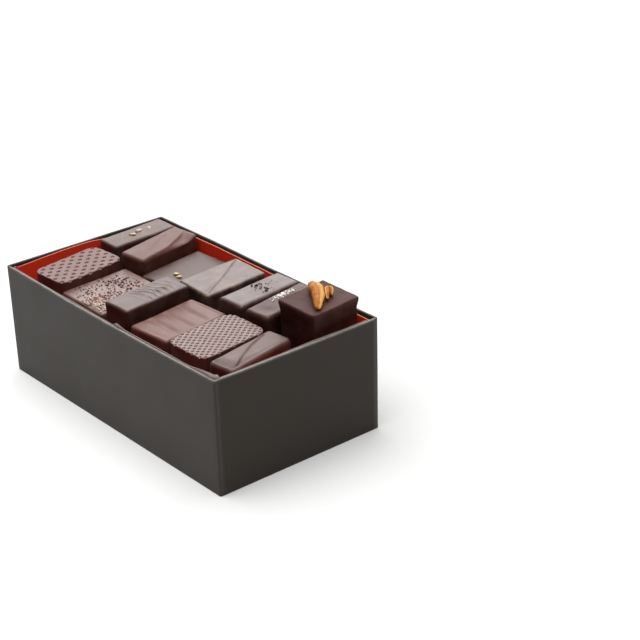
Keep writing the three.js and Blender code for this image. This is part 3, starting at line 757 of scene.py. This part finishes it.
rippled = Praline("praline_rippled_bar", x=-5.8, y=-16.9, top=57.2, turn=3.2, tip=(1.5, 1.2),
                  width=16.2, length=36.3)
rippled_finish = chocolate("rippled_bar_chocolate", linear(54, 28, 23), sheen=0.46, gloss=0.36)
rippled.skin(ripples, rippled_finish, pitch=0.24, seed=3)


# A milkier praline with four broad soft ribs across it, left by the grooved bed that it was cut on.
RIBS = 4
RIB_DEPTH = 0.6
ribbed = Praline("praline_ribbed", x=16.9, y=-15.9, top=51.4, turn=6.0, tip=(0.8, 0.8),
                 width=24.2, length=37)


def ribs(x, y):
    half_x, half_y = ribbed.half_x - PIECE_EDGE, ribbed.half_y - PIECE_EDGE
    phase = np.cos(np.pi * RIBS * ((y + 0.06 * x) / half_y + 1) / 2)
    return -RIB_DEPTH * within(x, y, half_x, half_y) * phase ** 4


ribbed_finish = chocolate("ribbed_chocolate", linear(82, 44, 35), sheen=0.46)
ribbed.skin(ribs, ribbed_finish, pitch=0.35, seed=4)


# A second textured slab, pressed with a fine net of short dents in staggered rows.
def waffle_top(x, y):
    return dents(x, y, along=3.44, across=3.14, start=(-4.4, -4.5), turn=-11.5,
                 half_long=0.82, half_short=0.72, depth=0.5)


waffle = Praline("praline_waffle_slab", x=45.2, y=-15.7, top=53.5, turn=4.6, tip=(1.6, 1.6),
                 width=24.8, length=36.9, edge=0.45, corner=4.5)
waffle_finish = chocolate("waffle_slab_chocolate", linear(74, 38, 30), sheen=0.86, gloss=0.40)
waffle.skin(waffle_top, waffle_finish, pitch=0.18, seed=5, over_edge=True)


# The last of the front row is a soft-edged bar with one thin line raised across it. Its top slopes down
# towards its front end and its right side.
def distance_to(route, x, y):
    """How far points lie from a line through the route's points, and on which side."""
    near = np.full(np.shape(x), 1e9)
    side = np.zeros(np.shape(x))
    for (x0, y0), (x1, y1) in zip(route, route[1:]):
        span = math.hypot(x1 - x0, y1 - y0)
        along = np.clip(((x - x0) * (x1 - x0) + (y - y0) * (y1 - y0)) / span ** 2, 0, 1)
        gap = np.hypot(x - x0 - along * (x1 - x0), y - y0 - along * (y1 - y0))
        turn = np.sign((x1 - x0) * (y - y0) - (y1 - y0) * (x - x0))
        side = np.where(gap < near, turn, side)
        near = np.minimum(near, gap)
    return near, side


def curve_through(points, steps=6):
    """A smooth curve through a few points, as a list of places."""
    knots = np.array([points[0], *points, points[-1]], float)
    curve = []
    for p0, p1, p2, p3 in zip(knots, knots[1:], knots[2:], knots[3:]):
        for t in np.arange(steps) / steps:
            curve.append(0.5 * (2 * p1 + (p2 - p0) * t + (2 * p0 - 5 * p1 + 4 * p2 - p3) * t ** 2
                                + (3 * p1 - p0 - 3 * p2 + p3) * t ** 3))
    return np.array([*curve, knots[-1]])


raised_route = curve_through([(5.0, -16.8), (2.9, -10.6), (0.1, -4), (-2.9, 3.8), (-5.0, 13.5)])


def raised_line(x, y):
    near, side = distance_to(raised_route, x, y)
    ridge = 0.42 * np.exp(-((near / 0.55) ** 2))
    step = 0.22 * np.exp(-near / 3.5) * (side > 0)
    slopes = 1.5 * smooth_step(-y, 11, 19) + 0.9 * smooth_step(x - y / 12, 3, 7)
    return ridge + step - slopes


line_bar = Praline("praline_line_bar", x=66.1, y=-13.4, top=53.5, turn=9.1, tip=(1.3, 1.1),
                   width=14.2, length=38.6, edge=2.2, corner=2.6)
line_finish = chocolate("line_bar_chocolate", linear(62, 33, 27), sheen=0.5)
line_bar.skin(raised_line, line_finish, pitch=0.3, seed=6)


# At the back left lies a bar with three flecks of cream-coloured nut pressed into its smooth top.
def flat_top(x, y):
    return 0 * x


fleck_bar = Praline("praline_fleck_bar", x=-71.6, y=23.4, top=55.6, turn=1.6, tip=(1.2, 1.0),
                    width=14.0, length=36.4)
fleck_bar_finish = chocolate("fleck_bar_chocolate", linear(62, 36, 30), sheen=0.49, bloom=0.4)
fleck_bar.skin(flat_top, fleck_bar_finish, pitch=0.45, seed=7)
flecks = [
    (0.4, -3.2, 0.0, 2.0, 1.4, 0.7, 0.6),
    (-1.2, 1.8, 0.0, 1.5, 2.5, 0.7, 0.2),
    (-0.7, 7.4, -0.1, 1.2, 1.5, 0.5, 1.1),
]
fleck_finish = crumb("cream_fleck", linear(132, 116, 100), linear(160, 146, 128))
chips("fleck_bar_flecks", flecks, fleck_finish, fleck_bar.matrix, seed=6, rough=0.12, facets=False)


# A milkier bar swept with a palette knife: its right-hand side falls away from a crease with a low lip,
# and the knife left one shallow scratch.
CREASE_ALONG = (-19, -9, -0.6, 8.3, 18.5)
CREASE_ACROSS = (7.6, 6.8, 6.1, 3.5, -0.2)
scratch_route = curve_through([(5.4, -16), (2.7, -8.8), (-1.3, 0.8), (-3, 7)])


def sweep(x, y):
    crease = np.interp(y, CREASE_ALONG, CREASE_ACROSS)
    past = np.hypot(np.maximum(0, x - crease), 0.4) - 0.4
    lip = 0.22 * np.exp(-(((x - crease) / 0.7) ** 2)) * smooth_step(y, -8, 4)
    fall = 2.2 * (1 - np.exp(-past / 2.5)) * smooth_step(CREASE_ALONG[-1] - y, 0, 8)
    scratch = distance_to(scratch_route, x, y)[0]
    return lip - fall - 0.2 * np.exp(-((scratch / 0.7) ** 2))


swept = Praline("praline_swept_bar", x=-51.5, y=22.0, top=56.6, turn=10.1, tip=(1.9, 1.7),
                width=16, length=38.2, edge=1.8, corner=2.4)
swept_finish = chocolate("swept_bar_chocolate", linear(76, 37, 29), sheen=0.38)
swept.skin(sweep, swept_finish, pitch=0.3, seed=8, over_edge=True)


# A low smooth slab with two pale sesame seeds and one tiny dimple where a bubble burst.
def dimple(x, y):
    return -0.25 * np.exp(-((x + 1.0) ** 2 + (y - 2.0) ** 2) / 0.25)


seed_slab = Praline("praline_seed_slab", x=-29.9, y=22.2, top=49.4, turn=7.0, tip=(1.6, 1.4),
                    width=23.4, length=37)
seed_slab_finish = chocolate("seed_slab_chocolate", linear(54, 30, 24), sheen=0.42, gloss=0.40)
seed_slab.skin(dimple, seed_slab_finish, pitch=0.35, seed=9)
seeds = [(0.6, -7.0, 0.3, 1.5, 0.88, 0.7, 0.75), (3.8, -8.3, 0.3, 1.5, 0.88, 0.7, 0.7)]
seed_finish = crumb("sesame", linear(184, 158, 100), linear(210, 190, 138), rough=0.5)
chips("seed_slab_seeds", seeds, seed_finish, seed_slab.matrix, seed=7, rough=0.03, facets=False)


# This one has a fine line pressed from corner to corner while soft, split in two near the front end. Its
# coat has bloomed more than the others.
pressed_routes = [
    curve_through([(9.4, -15.2), (5.2, -8), (0, 1), (-5.2, 9), (-9.2, 15.2)]),
    curve_through([(7.2, -15.2), (4.6, -10), (2.2, -4.5)]),
]


def pressed_lines(x, y):
    first, side = distance_to(pressed_routes[0], x, y)
    second = distance_to(pressed_routes[1], x, y)[0]
    groove = -0.32 * np.exp(-((first / 0.35) ** 2)) - 0.2 * np.exp(-((second / 0.3) ** 2))
    lip = 0.1 * np.exp(-(((first - 0.8) / 0.5) ** 2)) * (side > 0)
    return groove + lip


diagonal = Praline("praline_diagonal", x=-0.8, y=22.1, top=55.1, turn=0, tip=(2.6, 1.5),
                   width=22.6, length=34.2)
diagonal_finish = chocolate("diagonal_chocolate", linear(56, 34, 28), sheen=0.56, bloom=1.0, gloss=0.36)
diagonal.skin(pressed_lines, diagonal_finish, pitch=0.28, seed=10)


# A narrow bar with a pinch of dark crystals, sugar grains coloured with cocoa.
crystal_bar = Praline("praline_crystal_bar", x=25.7, y=23.3, top=57.2, turn=3.8, tip=(1.4, 1.1),
                      width=15.4, length=36.4, edge=2.0)
crystal_bar_finish = chocolate("crystal_bar_chocolate", linear(52, 27, 22), sheen=0.55, gloss=0.34)
crystal_bar.skin(flat_top, crystal_bar_finish, pitch=0.4, seed=11)
crystals = strewn(seed=5, count=9, centre=(-0.8, 2.2), reach=(5, 3), limit=(5.2, 15),
                  size=(0.35, 0.75), apart=1.5, flat=0.8)
crystals += strewn(seed=6, count=24, centre=(-1, 2), reach=(7, 9), limit=(5.4, 15),
                   size=(0.14, 0.3), apart=1.1, flat=0.8)
crystal_finish = crumb("dark_crystal", linear(24, 16, 16), linear(46, 32, 30), rough=0.18)
chips("crystal_bar_crystals", crystals, crystal_finish, crystal_bar.matrix, seed=8, rough=0.22)


# A narrow bar with flakes of white salt along its left half and a dip in its front end.
def dip(x, y):
    return -0.5 * np.exp(-(((x - 1) / 3.5) ** 2) - ((y + 12) / 3) ** 2)


salt_bar = Praline("praline_salt_bar", x=43.7, y=23.1, top=58, turn=7.4, tip=(1.6, 1.4),
                   width=14.4, length=36, edge=2.0)
salt_bar_finish = chocolate("salt_bar_chocolate", linear(56, 27, 21), sheen=0.26, gloss=0.38)
salt_bar.skin(dip, salt_bar_finish, pitch=0.35, seed=12)
salt = strewn(seed=31, count=26, centre=(-4.0, 2.6), reach=(2.2, 8), limit=(5.0, 15),
              size=(0.28, 0.6), apart=1.0, flat=0.6)
salt += strewn(seed=32, count=36, centre=(-3.8, 3), reach=(3, 9), limit=(5.2, 15),
               size=(0.14, 0.28), apart=1.0, flat=0.8)
salt_finish = crumb("salt", linear(176, 168, 162), linear(214, 208, 204), rough=0.35)
chips("salt_bar_salt", salt, salt_finish, salt_bar.matrix, seed=9, rough=0.22)


# The tall cube stands above the rim. Its coat has drawn back a little between the corners, so its top
# sags, and the edge of the top stands out over slightly hollow sides.
cube = Praline("praline_cube", x=64.7, y=25.8, top=65, turn=1.8, tip=(1.8, 1.35),
               width=24.3, length=27.4, edge=1.0)


def sag(x, y):
    across, along = x / (2 * cube.half_x), y / (2 * cube.half_y)
    lifted_corner = 0.5 * ((0.5 - across) * (0.5 + along)) ** 3
    return lifted_corner - 0.35 * np.cos(np.pi * across) * np.cos(np.pi * along)


cube_finish = chocolate("cube_chocolate", linear(56, 28, 23), sheen=0.135, bloom=0.2, gloss=0.52)
cube.skin(sag, cube_finish, pitch=0.35, seed=13, uneven=0.14, hollow=0.4, lip=0.8)


# Two pieces of caramelised nut lie on the cube: a long grooved one that tapers to the front, and a small
# hooked one beside it, both in a glassy amber coat with a painted highlight of paler amber along one
# lobe.
GROOVE_ANGLE = 1.2
RIDGE_ANGLE = 0.6
HIGHLIGHT_ANGLE = 0.55
NUT_SIDES = 40


def caramel():
    """Amber sugar over nut, with one lobe painted a paler amber as a painted highlight."""
    material, wire = finish_named("caramelised_nut")
    patch = speckle(wire, 2.4, 3)
    fine = speckle(wire, 0.6, 4)
    highlight = wire.node("ShaderNodeAttribute", {"attribute_name": "highlight_lobe"}, {}, "Fac")
    shade = patch.ramp(0.35, 0.68).mixed(linear(132, 68, 12), linear(160, 102, 26))
    shade = (0.75 * highlight + 0.3 * fine.ramp(0.5, 0.9)).mixed(shade, linear(186, 142, 70))
    bump = bumps(fine, strength=0.25, depth=0.15)
    coat_with(wire, {"Base Color": shade, "Roughness": 0.42 + 0.15 * patch, "Normal": bump,
                     "Specular IOR Level": 0.15, "Specular Tint": (1, 0.86, 0.6, 1)})
    return material


amber = caramel()


def nut(name, route, widths, heights, groove, seed):
    """A lumpy tapered piece along a route on the cube's top, grooved along its upper side. widths and
    heights are its half sizes at the route's points, and groove is how deep the groove is, as a share."""
    lift = FREE_GAP + 0.1
    spine = [(x, y, h + lift, w, h) for (x, y), w, h in zip(route, widths, heights)]
    spine = curve_through(spine, steps=8)
    ahead_of = np.gradient(spine[:, :3], axis=0)
    ahead_of /= np.linalg.norm(ahead_of, axis=1)[:, None]
    across = np.cross((0, 0, 1), ahead_of)
    across /= np.linalg.norm(across, axis=1)[:, None]
    above = np.cross(ahead_of, across)
    angles = 2 * np.pi * np.arange(NUT_SIDES) / NUT_SIDES
    dent = 1 - groove * np.exp(-(((angles - GROOVE_ANGLE) / 0.3) ** 2))
    dent = dent + 0.12 * np.exp(-(((angles - RIDGE_ANGLE) / 0.35) ** 2))
    ring = (np.cos(angles)[None, :, None] * across[:, None, :] * spine[:, 3][:, None, None]
            + (np.sin(angles) * dent)[None, :, None] * above[:, None, :] * spine[:, 4][:, None, None])
    points = (spine[:, None, :3] + ring).reshape(-1, 3)
    middles = np.repeat(spine[:, :3], NUT_SIDES, axis=0)
    lumps = 1 + 0.07 * waves(seed, longest=9, shortest=3)(points)
    lumps = lumps + 0.015 * waves(seed + 1, longest=2, shortest=0.8)(points)
    points = middles + (points - middles) * lumps[:, None]
    points[:, 2] = np.maximum(points[:, 2], -0.2)
    base = len(points)
    faces = tube(len(spine), NUT_SIDES) + fan(np.arange(NUT_SIDES), base)
    faces += fan(np.arange(base - NUT_SIDES, base)[::-1], base + 1)
    points = np.vstack([points, spine[0, :3], spine[-1, :3]])
    # A painted highlight: the lobe at this angle is marked to be painted paler.
    pale = np.tile(smooth_step(-np.abs(angles - HIGHLIGHT_ANGLE), -0.8, -0.45), len(spine))
    marks = {"highlight_lobe": np.concatenate([pale, [0, 0]])}
    piece = build(name + "_caramel", points, faces, [amber], cube.matrix, marks=marks)
    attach(piece, "root")
    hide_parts(name)


nut(
    "nut_large",
    route=[(-9.2, 5.6), (-7.9, 4.6), (-4.9, 2.8), (-1.1, 0.4), (2.8, -2.3), (6.1, -5.3), (8.6, -7.8),
           (9.4, -8.6)],
    widths=[1.5, 2.75, 3.0, 3.1, 2.75, 2.1, 1.6, 1.1],
    heights=[0.9, 1.8, 2.2, 2.1, 1.9, 1.5, 1.0, 0.6],
    groove=0.45, seed=41,
)
nut(
    "nut_small",
    route=[(5.5, 0.7), (3.8, 2.1), (1.4, 4.2), (-1.0, 6.3), (0.0, 7.5), (1.9, 6.3), (3.8, 4.6)],
    widths=[0.5, 0.8, 1.05, 1.15, 1.05, 0.8, 0.45],
    heights=[0.58, 0.92, 1.2, 1.32, 1.2, 0.92, 0.52],
    groove=0.3, seed=51,
)


# The layers below are one plain mass of dark chocolate, which only shows as darkness between the
# pralines. Its tone is darker than the pralines above, as painted shade. How they are really filled can't
# be seen.
LAYERS_GAP = 0.5


def make_lower_layers():
    half_x = TRAY_LENGTH / 2 - BOARD - FREE_GAP - CARD - LAYERS_GAP
    half_y = TRAY_WIDTH / 2 - BOARD - FREE_GAP - CARD - LAYERS_GAP
    foot = BOARD + FREE_GAP
    x, y = np.meshgrid(np.linspace(-half_x, half_x, 150), np.linspace(-half_y, half_y, 80))
    faces, border = sheet(x.shape)
    top = np.column_stack([x.ravel(), y.ravel(), np.full(x.size, BED_TOP - 0.1)])
    top[:, 2] += 0.05 * waves(71, longest=40, shortest=8)(top)
    skirt = top[border]
    skirt[:, 2] = foot
    low = len(top) + np.arange(len(border))
    faces += band(border, low) + fan(low, len(top) + len(border))
    points = np.vstack([top, skirt, [0, 0, foot]])
    # Darker than the pralines above: painted shade in the gaps.
    finish = chocolate("hidden_chocolate", linear(44, 25, 21), sheen=0.5, bloom=0.2, gloss=0.40)
    layers = build("lower_layers_mass", points, faces, [finish])
    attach(layers, "root")
    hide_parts("lower_layers")


make_lower_layers()
